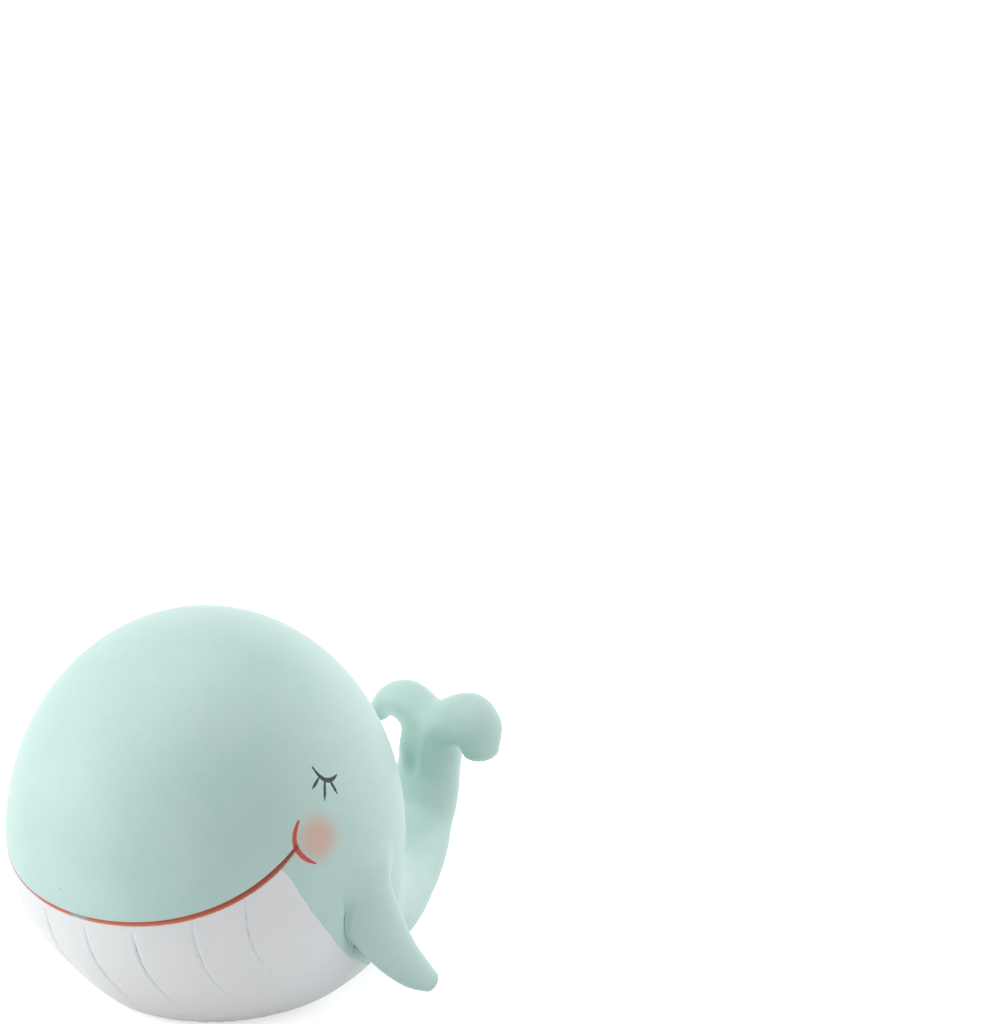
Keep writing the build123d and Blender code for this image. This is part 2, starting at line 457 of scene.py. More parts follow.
@dataclass
class Limb(Form):
    """A tapering limb of ovals along a smooth path, rounded at both ends."""

    controls: list[Triple]
    shares: list[float]
    half_widths: list[float]
    half_depths: list[float]
    width_dir: Triple
    count: int = 24

    def __post_init__(self) -> None:
        """Works out the ovals along the path."""
        places = np.linspace(0, 1, self.count)
        self.path = along_curve(np.array(self.controls, float), places)
        heading = np.gradient(self.path, axis=0)
        self.heading = heading / np.linalg.norm(heading, axis=1, keepdims=True)
        across = np.array(self.width_dir) - (self.heading @ np.array(self.width_dir))[:, None] * self.heading
        self.across = across / np.linalg.norm(across, axis=1, keepdims=True)
        self.deep = np.cross(self.heading, self.across)
        self.width = np.interp(places, self.shares, self.half_widths)
        self.depth = np.interp(places, self.shares, self.half_depths)

    def distance(self, points: np.ndarray) -> np.ndarray:
        """Distance to the limb.

        Args:
            points: any points.

        Returns:
            The distance near the limb, and a large one elsewhere.
        """
        margin = max(self.width.max(), self.depth.max()) + 16
        near = ((points > self.path.min(0) - margin) & (points < self.path.max(0) + margin)).all(1)
        found = np.full(len(points), 60.0)
        found[near] = self.close_distance(points[near])
        return found

    def close_distance(self, points: np.ndarray) -> np.ndarray:
        """Distance to the limb from points near it.

        Args:
            points: points near the limb.

        Returns:
            One distance for each point.
        """
        best = np.full(len(points), np.inf)
        place = np.zeros(len(points))
        for i in range(self.count - 1):
            run = self.path[i + 1] - self.path[i]
            share = np.clip((points - self.path[i]) @ run / (run @ run), 0, 1)
            gap = ((points - self.path[i] - share[:, None] * run) ** 2).sum(1)
            closer = gap < best
            best[closer] = gap[closer]
            place[closer] = i + share[closer]
        low = np.minimum(place.astype(int), self.count - 2)
        part = (place - low)[:, None]
        offset = points - (self.path[low] * (1 - part) + self.path[low + 1] * part)
        width, depth = (np.interp(place, np.arange(self.count), size) for size in (self.width, self.depth))
        half = np.stack([width, depth, np.minimum(width, depth)], 1)
        directions = (self.across, self.deep, self.heading)
        axes = [axis[low] * (1 - part) + axis[low + 1] * part for axis in directions]
        share = np.stack([(offset * axis).sum(1) for axis in axes], 1) / half
        size = np.linalg.norm(share, axis=1)
        return size * (size - 1) / np.maximum(np.linalg.norm(share / half, axis=1), 1e-6)


@dataclass
class Joined(Form):
    """Two forms with a fillet between them."""

    first: Form
    second: Form
    reach: float | Measure

    def reach_at(self, points: np.ndarray) -> np.ndarray | float:
        """How far the fillet spreads at each point."""
        return self.reach(points) if callable(self.reach) else self.reach

    def distance(self, points: np.ndarray) -> np.ndarray:
        """Distance from each point to the joined forms."""
        return soft_union(self.first.distance(points), self.second.distance(points), self.reach_at(points))


@dataclass
class Hollowed(Form):
    """A form with another one scooped out of it."""

    first: Form
    scoop: Form
    reach: float

    def distance(self, points: np.ndarray) -> np.ndarray:
        """Distance from each point to what is left."""
        return -soft_union(-self.first.distance(points), self.scoop.distance(points), self.reach)


@dataclass
class Stroke:
    """A line drawn or carved on the left side, and mirrored on the right."""

    path: np.ndarray
    half_width: np.ndarray | float

    def measure(self, points: np.ndarray) -> tuple[np.ndarray, np.ndarray]:
        """How points lie to the stroke.

        Args:
            points: points on either side of the whale.

        Returns:
            How far each lies inside the stroke's edge, and its place along the stroke from 0 to 1.
        """
        mirrored = points.copy()
        mirrored[:, 0] = np.abs(points[:, 0])
        best = np.full(len(points), np.inf)
        place = np.zeros(len(points))
        for i in range(len(self.path) - 1):
            run = self.path[i + 1] - self.path[i]
            share = np.clip((mirrored - self.path[i]) @ run / (run @ run), 0, 1)
            gap = ((mirrored - self.path[i] - share[:, None] * run) ** 2).sum(1)
            closer = gap < best
            best[closer] = gap[closer]
            place[closer] = i + share[closer]
        place /= len(self.path) - 1
        half = self.half_width
        if not np.isscalar(half):
            half = np.interp(place, np.linspace(0, 1, len(half)), half)
        return half - np.sqrt(best), place


def linear(code: str) -> tuple[float, float, float, float]:
    """Colour for a shader.

    Args:
        code: an sRGB hex colour, such as "#b5d6cf".

    Returns:
        The colour in linear light, with full alpha.
    """
    parts = [int(code[i:i + 2], 16) / 255 for i in (1, 3, 5)]
    red, green, blue = (p / 12.92 if p <= 0.04045 else ((p + 0.055) / 1.055) ** 2.4 for p in parts)
    return red, green, blue, 1.0


def add_node(tree: bpy.types.NodeTree, kind: str, values: dict, **settings: object) -> bpy.types.Node:
    """Adds a node with its settings and links.

    Args:
        tree: the node tree that gets it.
        kind: Blender's name for the kind of node.
        values: for an input's name or number, a plain value or the output that it is linked to.
        settings: the node's own settings.

    Returns:
        The new node.
    """
    node = tree.nodes.new(kind)
    for name, value in settings.items():
        setattr(node, name, value)
    for name, value in values.items():
        if isinstance(value, bpy.types.NodeSocket):
            tree.links.new(value, node.inputs[name])
        else:
            node.inputs[name].default_value = value
    return node


def new_tree(name: str) -> tuple[bpy.types.Material, bpy.types.NodeTree]:
    """An empty node material.

    Args:
        name: the material's name.

    Returns:
        The material and its node tree.
    """
    material = bpy.data.materials.new(name)
    material.use_nodes = True
    material.node_tree.nodes.clear()
    return material, material.node_tree


@dataclass(frozen=True)
class BrushedAcrylic:
    """Matt acrylic paint, brushed on cast polyresin."""

    # The paint hides the resin and keeps soft brush marks, small pits and a faint, broken sheen.
    name: str
    main: str
    pale: str
    # The deep tint serves both the brush streaks and the painted shade in the hollows.
    deep: str
    with_face: bool
    lap: tuple[str, str] = ("#e6e8e9", "#ecedee")
    roughness: float = 0.46
    cloud_mm: float = 26.0
    streak_mm: float = 1.1
    grain_mm: float = 0.45
    pit_mm: float = 9.0
    patch_mm: float = 4.5
    line_red: str = "#c8604f"
    # The mouth line's orange is a painted highlight on the groove's lower wall, and its brown is painted
    # shade on the upper wall.
    line_highlight_orange: str = "#dd8a63"
    line_shade_brown: str = "#8a4038"
    crease_red: str = "#c9504b"
    lash_dark: str = "#1f3433"
    blush_peach: str = "#e39c82"
    blush_mm: float = 9.4
    blush_strength: float = 0.6
    # The grey is painted shade in a bare stretch of the mouth groove.
    groove_shade_grey: str = "#a3b1aa"
    dirt_grey: str = "#7d8a88"

    def material(self) -> bpy.types.Material:
        """Builds the paint.

        Returns:
            The new material.
        """
        material, tree = new_tree(self.name)
        place = add_node(tree, "ShaderNodeTexCoord", {}).outputs["Object"]
        cloud = add_node(tree, "ShaderNodeTexNoise", {
            "Vector": place, "Scale": 1 / (self.cloud_mm * MM), "Detail": 3.0, "Roughness": 0.55})
        stretch = add_node(tree, "ShaderNodeMapping", {
            "Vector": place, "Rotation": (0.35, 0.2, 0.5), "Scale": (1.0, 0.14, 0.6)})
        streak = add_node(tree, "ShaderNodeTexNoise", {
            "Vector": stretch.outputs[0], "Scale": 1 / (self.streak_mm * MM), "Detail": 2.0})
        grain = add_node(tree, "ShaderNodeTexNoise", {
            "Vector": place, "Scale": 1 / (self.grain_mm * MM), "Detail": 1.0})
        tone = add_node(tree, "ShaderNodeMapRange", {0: cloud.outputs[0], 1: 0.3, 2: 0.7, 3: 0.0, 4: 1.0})
        colour = add_node(tree, "ShaderNodeMix", {
            0: tone.outputs[0], 6: linear(self.main), 7: linear(self.pale)}, data_type="RGBA").outputs[2]
        # The throat's white laps over the foot of the tail with a crisp edge.
        lapped = add_node(tree, "ShaderNodeAttribute", {}, attribute_name="lap").outputs["Fac"]
        lap = add_node(tree, "ShaderNodeMapRange", {0: lapped, 1: 0.46, 2: 0.54, 3: 0.0, 4: 1.0})
        white = add_node(tree, "ShaderNodeMix", {
            0: tone.outputs[0], 6: linear(self.lap[0]), 7: linear(self.lap[1])}, data_type="RGBA")
        colour = add_node(tree, "ShaderNodeMix", {
            0: lap.outputs[0], 6: colour, 7: white.outputs[2]}, data_type="RGBA").outputs[2]
        brush = add_node(tree, "ShaderNodeMapRange", {
            0: streak.outputs[0], 1: 0.45, 2: 0.75, 3: 0.0, 4: 0.07})
        colour = add_node(tree, "ShaderNodeMix", {
            0: brush.outputs[0], 6: colour, 7: linear(self.deep)}, data_type="RGBA").outputs[2]
        # Painted shade: the hollow mark darkens the trough and the angles in front of the fins towards the
        # deep tint.
        hollow = add_node(tree, "ShaderNodeAttribute", {}, attribute_name="hollow").outputs["Fac"]
        colour = add_node(tree, "ShaderNodeMix", {
            0: hollow, 6: colour, 7: linear(self.deep)}, data_type="RGBA").outputs[2]
        # A few pits show the dust that they hold.
        cells = add_node(tree, "ShaderNodeTexVoronoi", {
            "Vector": place, "Scale": 1 / (self.pit_mm * MM), "Randomness": 1.0})
        pit = add_node(tree, "ShaderNodeMapRange", {
            0: cells.outputs["Distance"], 1: 0.018, 2: 0.034, 3: 0.75, 4: 0.0})
        rare = add_node(tree, "ShaderNodeSeparateColor", {0: cells.outputs["Color"]})
        few = add_node(tree, "ShaderNodeMath", {0: rare.outputs[0], 1: 0.86}, operation="GREATER_THAN")
        pitted = add_node(tree, "ShaderNodeMath", {
            0: pit.outputs[0], 1: few.outputs[0]}, operation="MULTIPLY")
        colour = add_node(tree, "ShaderNodeMix", {
            0: pitted.outputs[0], 6: colour, 7: linear(self.dirt_grey)}, data_type="RGBA").outputs[2]
        if self.with_face:
            colour = self.face_paint(tree, place, grain.outputs[0], colour)
        sheen = add_node(tree, "ShaderNodeMapRange", {
            0: cloud.outputs[0], 1: 0.3, 2: 0.7, 3: self.roughness - 0.05, 4: self.roughness + 0.06})
        relief = add_node(tree, "ShaderNodeMath", {0: streak.outputs[0], 1: 0.6, 2: grain.outputs[0]},
                          operation="MULTIPLY_ADD")
        bump = add_node(tree, "ShaderNodeBump", {
            "Height": relief.outputs[0], "Strength": 0.22, "Distance": 0.03 * MM})
        shader = add_node(tree, "ShaderNodeBsdfPrincipled", {
            "Base Color": colour, "Roughness": sheen.outputs[0], "Normal": bump.outputs[0], "IOR": 1.47})
        add_node(tree, "ShaderNodeOutputMaterial", {0: shader.outputs[0]})
        return material

    def face_paint(self, tree: bpy.types.NodeTree, place: bpy.types.NodeSocket, grain: bpy.types.NodeSocket,
                   colour: bpy.types.NodeSocket) -> bpy.types.NodeSocket:
        """Paints the mouth, the smile creases, the lashes, the cheeks and the pleats.

        Args:
            tree: the material's node tree.
            place: coordinates on the object.
            grain: fine noise that roughens the strokes' edges.
            colour: the paint underneath.

        Returns:
            The colour with the face on it.
        """
        mirror = add_node(tree, "ShaderNodeVectorMath", {0: place}, operation="ABSOLUTE")
        parts = add_node(tree, "ShaderNodeSeparateXYZ", {0: place})
        sides = add_node(tree, "ShaderNodeSeparateXYZ", {0: mirror.outputs[0]})
        both = add_node(tree, "ShaderNodeCombineXYZ", {
            0: sides.outputs[0], 1: parts.outputs[1], 2: parts.outputs[2]})
        cheek = add_node(tree, "ShaderNodeVectorMath", {
            0: both.outputs[0], 1: tuple(c * MM for c in WhaleBody.blush_place)}, operation="DISTANCE")
        rosy = add_node(tree, "ShaderNodeMapRange", {
            0: cheek.outputs["Value"], 1: 1.0 * MM, 2: self.blush_mm * MM, 3: self.blush_strength, 4: 0.0},
            interpolation_type="SMOOTHERSTEP")
        colour = add_node(tree, "ShaderNodeMix", {
            0: rosy.outputs[0], 6: colour, 7: linear(self.blush_peach)}, data_type="RGBA").outputs[2]
        wobble = add_node(tree, "ShaderNodeMath", {
            0: grain, 1: 0.22, 2: -0.11}, operation="MULTIPLY_ADD").outputs[0]
        patchy = add_node(tree, "ShaderNodeTexNoise", {
            "Vector": place, "Scale": 1 / (self.patch_mm * MM)}).outputs[0]
        strokes = (
            ("pleat", self.dirt_grey), ("mouth", self.line_red),
            ("crease", self.crease_red), ("lash", self.lash_dark))
        for stroke, paint in strokes:
            inside = add_node(tree, "ShaderNodeAttribute", {}, attribute_name=stroke).outputs["Fac"]
            rough = add_node(tree, "ShaderNodeMath", {0: inside, 1: wobble}, operation="ADD").outputs[0]
            paint_colour = linear(paint)
            strength = 1.0
            if stroke == "pleat":
                strength = add_node(tree, "ShaderNodeMapRange", {
                    0: patchy, 1: 0.42, 2: 0.72, 3: 0.1, 4: 0.65}).outputs[0]
            if stroke == "mouth":
                paint_colour = self.lip_paint_and_light(tree, patchy)
            cover = add_node(tree, "ShaderNodeMapRange", {0: rough, 1: -0.06, 2: 0.1, 3: 0.0, 4: strength})
            colour = add_node(tree, "ShaderNodeMix", {
                0: cover.outputs[0], 6: colour, 7: paint_colour}, data_type="RGBA").outputs[2]
        return colour

    def lip_paint_and_light(self, tree: bpy.types.NodeTree, patchy: bpy.types.NodeSocket) -> bpy.types.NodeSocket:
        """Colour of the mouth line: red above, with a painted highlight in orange on its lower wall and
        painted shade in brown, strongest on its upper wall and towards the corner.

        Args:
            tree: the material's node tree.
            patchy: uneven patches, from 0 to 1.

        Returns:
            The colour.
        """
        side = add_node(tree, "ShaderNodeAttribute", {}, attribute_name="lip_side").outputs["Fac"]
        # Painted highlight: the lower wall of the groove turns orange.
        lower = add_node(tree, "ShaderNodeMapRange", {0: side, 1: -0.15, 2: 0.55, 3: 0.0, 4: 1.0})
        red = add_node(tree, "ShaderNodeMix", {
            0: lower.outputs[0], 6: linear(self.line_red), 7: linear(self.line_highlight_orange)},
            data_type="RGBA").outputs[2]
        along = add_node(tree, "ShaderNodeAttribute", {}, attribute_name="lip_along").outputs["Fac"]
        patchy = add_node(tree, "ShaderNodeMath", {0: patchy, 1: 0.35, 2: along},
                          operation="MULTIPLY_ADD")
        brown = add_node(tree, "ShaderNodeMapRange", {0: patchy.outputs[0], 1: 0.62, 2: 1.2, 3: 0.0, 4: 0.85})
        # Painted shade: the brown is strongest on the upper wall.
        upper = add_node(tree, "ShaderNodeMapRange", {0: side, 1: 0.6, 2: -0.2, 3: 0.35, 4: 1.0})
        dark = add_node(tree, "ShaderNodeMath", {
            0: brown.outputs[0], 1: upper.outputs[0]}, operation="MULTIPLY")
        painted = add_node(tree, "ShaderNodeMix", {
            0: dark.outputs[0], 6: red, 7: linear(self.line_shade_brown)}, data_type="RGBA").outputs[2]
        # The brush missed a short stretch; the bare groove there is painted grey as painted shade.
        bare = add_node(tree, "ShaderNodeAttribute", {}, attribute_name="lip_bare").outputs["Fac"]
        return add_node(tree, "ShaderNodeMix", {
            0: bare, 6: painted, 7: linear(self.groove_shade_grey)}, data_type="RGBA").outputs[2]


@dataclass(frozen=True)
class PressedFelt:
    """Pressed wool felt, cut from sheet."""

    # Matted fibres give a dull, flecked surface with a soft sheen at grazing angles.
    name: str = "pressed_wool_felt"
    main: str = "#8d9a97"
    fleck: str = "#6f7b79"
    fibre_mm: float = 0.4

    def material(self) -> bpy.types.Material:
        """Builds the felt.

        Returns:
            The new material.
        """
        material, tree = new_tree(self.name)
        place = add_node(tree, "ShaderNodeTexCoord", {}).outputs["Object"]
        fibre = add_node(tree, "ShaderNodeTexNoise", {
            "Vector": place, "Scale": 1 / (self.fibre_mm * MM), "Detail": 4.0, "Distortion": 1.5})
        colour = add_node(tree, "ShaderNodeMix", {
            0: fibre.outputs[0], 6: linear(self.fleck), 7: linear(self.main)}, data_type="RGBA")
        bump = add_node(tree, "ShaderNodeBump", {
            "Height": fibre.outputs[0], "Strength": 0.8, "Distance": 0.15 * MM})
        shader = add_node(tree, "ShaderNodeBsdfPrincipled", {
            "Base Color": colour.outputs[2], "Roughness": 0.95, "Sheen Weight": 0.3,
            "Normal": bump.outputs[0]})
        add_node(tree, "ShaderNodeOutputMaterial", {0: shader.outputs[0]})
        return material


@dataclass(frozen=True)
class CastResin:
    """Bare polyresin, as it leaves the mould."""

    # Filled resin is chalky and off-white, with faint swirls and fine pinholes.
    name: str = "bare_cast_polyresin"
    main: str = "#ddd8cc"
    swirl: str = "#c9c2b3"
    swirl_mm: float = 6.0

    def material(self) -> bpy.types.Material:
        """Builds the resin.

        Returns:
            The new material.
        """
        material, tree = new_tree(self.name)
        place = add_node(tree, "ShaderNodeTexCoord", {}).outputs["Object"]
        swirl = add_node(tree, "ShaderNodeTexNoise", {
            "Vector": place, "Scale": 1 / (self.swirl_mm * MM), "Detail": 5.0, "Distortion": 2.0})
        colour = add_node(tree, "ShaderNodeMix", {
            0: swirl.outputs[0], 6: linear(self.main), 7: linear(self.swirl)}, data_type="RGBA")
        bump = add_node(tree, "ShaderNodeBump", {
            "Height": swirl.outputs[0], "Strength": 0.2, "Distance": 0.05 * MM})
        shader = add_node(tree, "ShaderNodeBsdfPrincipled", {
            "Base Color": colour.outputs[2], "Roughness": 0.62, "IOR": 1.54, "Normal": bump.outputs[0]})
        add_node(tree, "ShaderNodeOutputMaterial", {0: shader.outputs[0]})
        return material


@dataclass(frozen=True)
class DrawnSteel:
    """Mild steel rod, drawn and cut to length."""

    # Drawing leaves fine marks on the rod that spread its highlight.
    name: str = "drawn_steel_rod"
    main: str = "#a9a7a2"
    dull: str = "#8f8d89"
    line_mm: float = 0.2

    def material(self) -> bpy.types.Material:
        """Builds the steel.

        Returns:
            The new material.
        """
        material, tree = new_tree(self.name)
        place = add_node(tree, "ShaderNodeTexCoord", {}).outputs["Object"]
        lines = add_node(tree, "ShaderNodeTexNoise", {"Vector": place, "Scale": 1 / (self.line_mm * MM)})
        rough = add_node(tree, "ShaderNodeMapRange", {0: lines.outputs[0], 3: 0.28, 4: 0.46})
        colour = add_node(tree, "ShaderNodeMix", {
            0: lines.outputs[0], 6: linear(self.dull), 7: linear(self.main)}, data_type="RGBA")
        shader = add_node(tree, "ShaderNodeBsdfPrincipled", {
            "Base Color": colour.outputs[2], "Metallic": 1.0, "Roughness": rough.outputs[0]})
        add_node(tree, "ShaderNodeOutputMaterial", {0: shader.outputs[0]})
        return material


def make_piece(name: str, skin: Skin, material: bpy.types.Material, nodes: list[str],
               marks: dict[str, np.ndarray], normals: np.ndarray | None = None) -> bpy.types.Object:
    """Turns a closed skin into a piece of the whale.

    Args:
        name: the piece's name.
        skin: its shape.
        material: its finish.
        nodes: the CAD nodes that it stands for.
        marks: values at the skin's first points that the finish reads.
        normals: directions for shading at the first points, where the shape alone doesn't give them.

    Returns:
        The new object.
    """
    mesh = bpy.data.meshes.new(name)
    mesh.from_pydata((skin.points * MM).tolist(), [], skin.faces.tolist())
    mesh.shade_smooth()
    for mark, values in marks.items():
        full = np.zeros(len(skin.points), np.float32)
        full[:len(values)] = values
        full[len(values):] = values.min() if len(values) else 0
        mesh.attributes.new(mark, "FLOAT", "POINT").data.foreach_set("value", full)
    if normals is not None:
        full = np.array([v.normal for v in mesh.vertices])
        full[:len(normals)] = normals
        mesh.normals_split_custom_set_from_vertices(full.tolist())
    mesh.materials.append(material)
    piece = bpy.data.objects.new(name, mesh)
    bpy.context.scene.collection.objects.link(piece)
    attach(piece, "root")
    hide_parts(*nodes)
    LOG.info("%s: %d faces", name, len(skin.faces))
    return piece


@dataclass
class WhaleBody:
    """The hollow egg, split into a mint back and a white throat, with its carved and painted face."""

    egg: Egg = field(default_factory=Egg)
    wall: float = 4.0
    lip_centre: tuple[float, float] = (-84.6, 136.75)
    lip_radius: float = 107.4
    lip_start_y: float = -49.7
    lip_end_y: float = -13.3
    lip_steps: int = 60
    rear_centre: tuple[float, float] = (62.9, 88.4)
    rear_radius: float = 88.5
    corner_round: float = 2.8
    mouth_depth: float = 0.75
    pleat_offsets: tuple[float, ...] = (7.0, 20.5, 33.6, 42.2)
    pleat_ends: tuple[float, ...] = (5.5, 7.5, 16.0, 22.0)
    pleat_depth: float = 0.3
    pleat_half_width: float = 0.42
    fin_groove: float = 0.3
    plug_hole: float = 16.1
    blush_place: Triple = (47.4, -7.2, 57.3)

    def lip(self) -> Stroke:
        """The mouth line.

        Returns:
            Its stroke, from the middle of the face to the corner.
        """
        share = np.linspace(0, 1, self.lip_steps)
        y = self.lip_start_y + (self.lip_end_y - self.lip_start_y) * share ** 2
        z = self.lip_centre[1] - np.sqrt(self.lip_radius ** 2 - (y - self.lip_centre[0]) ** 2)
        x = np.sqrt(np.maximum(self.egg.width_at(z) ** 2 - y ** 2, 0))
        x[0] = 0
        half = np.interp(share, [0, 0.25, 0.6, 0.9, 1], [0.5, 0.58, 0.72, 0.78, 0.5])
        return Stroke(np.stack([x, y, z], 1), half)

    def on_egg(self, places: list[tuple[float, float]]) -> np.ndarray:
        """Points on the whale's left side.

        Args:
            places: how far back and how high each lies.

        Returns:
            The points on the egg.
        """
        side = np.array(places)
        rough = along_curve(side, np.linspace(0, 1, 14))
        x = np.sqrt(np.maximum(self.egg.width_at(rough[:, 1]) ** 2 - rough[:, 0] ** 2, 0))
        return np.stack([x, rough[:, 0], rough[:, 1]], 1)

    def creases(self) -> list[Stroke]:
        """The short curved stroke that closes the smile."""
        width = np.array([0.4, 0.62, 0.7, 0.72, 0.7, 0.58, 0.25])
        return [Stroke(self.on_egg([(-11.7, 62.4), (-15.9, 57.2), (-13.1, 53.5), (-8.9, 51.2)]), width)]

    def lashes(self) -> list[Stroke]:
        """The closed eye.

        Returns:
            The strokes of the lid and of its three lashes.
        """
        lid = np.array([0.25, 0.52, 0.62, 0.56, 0.18])
        lash = np.array([0.25, 0.42, 0.45, 0.15])
        return [
            Stroke(self.on_egg([(-3.4, 73.5), (-1.7, 68.6), (1.2, 69.2), (3.3, 70.0)]), lid),
            Stroke(self.on_egg([(-2.6, 70.8), (-5.5, 68.9)]), lash),
            Stroke(self.on_egg([(-1.1, 70.0), (-2.9, 65.4)]), lash),
            Stroke(self.on_egg([(0.4, 69.6), (1.6, 65.9)]), lash),
        ]

    def pleats(self) -> list[Stroke]:
        """The grooves that run down the throat.

        Returns:
            One stroke for each groove.
        """
        lip = self.lip().path
        strokes = []
        for offset, end in zip(self.pleat_offsets, self.pleat_ends):
            start = np.interp(offset, lip[:, 0], lip[:, 2]) - 2.2
            z = np.linspace(start, end, 18)
            y = -np.sqrt(np.maximum(self.egg.width_at(z) ** 2 - offset ** 2, 0))
            half = self.pleat_half_width * np.array([0.4, 1.0, 1.0, 0.9, 0.7, 0.1])
            strokes.append(Stroke(np.stack([np.full(18, offset), y, z], 1), half))
        return strokes

    def throat_level(self, points: np.ndarray) -> np.ndarray:
        """How far inside the white throat points lie, seen from the side.

        Args:
            points: any points.

        Returns:
            Above zero on the throat and below zero on the back.
        """
        y, z = points[:, 1], points[:, 2]
        below = np.hypot(y - self.lip_centre[0], z - self.lip_centre[1]) - self.lip_radius
        ahead = np.hypot(y - self.rear_centre[0], z - self.rear_centre[1]) - self.rear_radius
        ahead += 0.1 * np.sin(0.42 * z + 0.9) + 0.06 * np.sin(1.1 * z)
        return soft_union(below, ahead, self.corner_round)

    def build(self, finishes: dict[str, bpy.types.Material], fins: "list[WhaleFin]") -> None:
        """Makes the back and the throat.

        Args:
            finishes: the materials, by slot.
            fins: the fins, in front of which the body gets a line of painted shade.
        """
        lip, pleats = self.lip(), self.pleats()
        lines = [lip, *pleats, *self.creases(), *self.lashes()]

        def wanted(points: np.ndarray) -> np.ndarray:
            """Longest edge that the carved and painted lines allow.

            Args:
                points: points on the egg.

            Returns:
                One length for each point.
            """
            nearest = np.max([line.measure(points)[0] for line in lines], 0)
            seam = np.abs(self.throat_level(points))
            return np.clip(0.3 + 0.45 * np.minimum(-nearest, seam + 1.0), 0.34, 2.2)

        skin = self.egg.shell_skin(6)
        for _ in range(3):
            skin = skin.refined(wanted, self.egg.rounded)
        level = self.throat_level(skin.points)
        hole = np.hypot(skin.points[:, 0], skin.points[:, 1]) - self.plug_hole
        self.finish("painted_back", skin.kept(-level), finishes, "mint_paint", "back_casting", fins)
        throat = skin.kept(np.where(skin.points[:, 2] < 2 * self.egg.base_z, np.minimum(level, hole), level))
        self.finish("painted_throat", throat, finishes, "white_paint", "throat_casting", fins)

    def finish(self, name: str, skin: Skin, finishes: dict[str, bpy.types.Material], slot: str, node: str,
               fins: "list[WhaleFin]") -> None:
        """Carves one half of the egg, closes it and dresses it.

        Args:
            name: the piece's name.
            skin: the half's outer surface.
            finishes: the materials, by slot.
            slot: the finish that it gets.
            node: the CAD node that it stands for.
            fins: the fins that stand against the body.
        """
        points = skin.points
        normal = self.egg.normal(points)
        mouth, along = self.lip().measure(points)
        mouth -= 0.26 * ease(-2.0, -14.0, points[:, 0])
        pleat = np.max([p.measure(points)[0] for p in self.pleats()], 0)
        crease = np.max([c.measure(points)[0] for c in self.creases()], 0)
        lash = np.max([s.measure(points)[0] for s in self.lashes()], 0)
        y, z = points[:, 1], points[:, 2]
        side = np.hypot(y - self.lip_centre[0], z - self.lip_centre[1]) - self.lip_radius
        bare = ease(1.0, 4.0, points[:, 0]) * ease(9.0, 6.5, points[:, 0]) * ease(-0.4, -0.15, side)
        # Painted shade in the angle in front of each fin, which also carves a shallow groove there.
        shade = np.max([fin.shade(points) for fin in fins], 0)
        marks = {
            "mouth": mouth, "lip_side": side, "lip_along": along, "lip_bare": bare,
            "pleat": pleat - 0.2, "crease": crease, "lash": lash, "hollow": shade,
        }
        carved = self.mouth_depth * ease(-0.35, 0.6, mouth) * (1 - 0.3 * ease(0.1, 0.7, side))
        carved += self.pleat_depth * ease(-0.35, 0.4, pleat) + 0.22 * ease(-0.3, 0.5, crease)
        carved += self.fin_groove * shade
        outer = self.egg.settled(points) - normal * carved[:, None]
        outer[:, 2] = np.maximum(outer[:, 2], self.egg.base_z)
        shell = Skin(outer, skin.faces).shelled(points - normal * self.wall)
        make_piece(name, shell, finishes[slot], [node], marks)


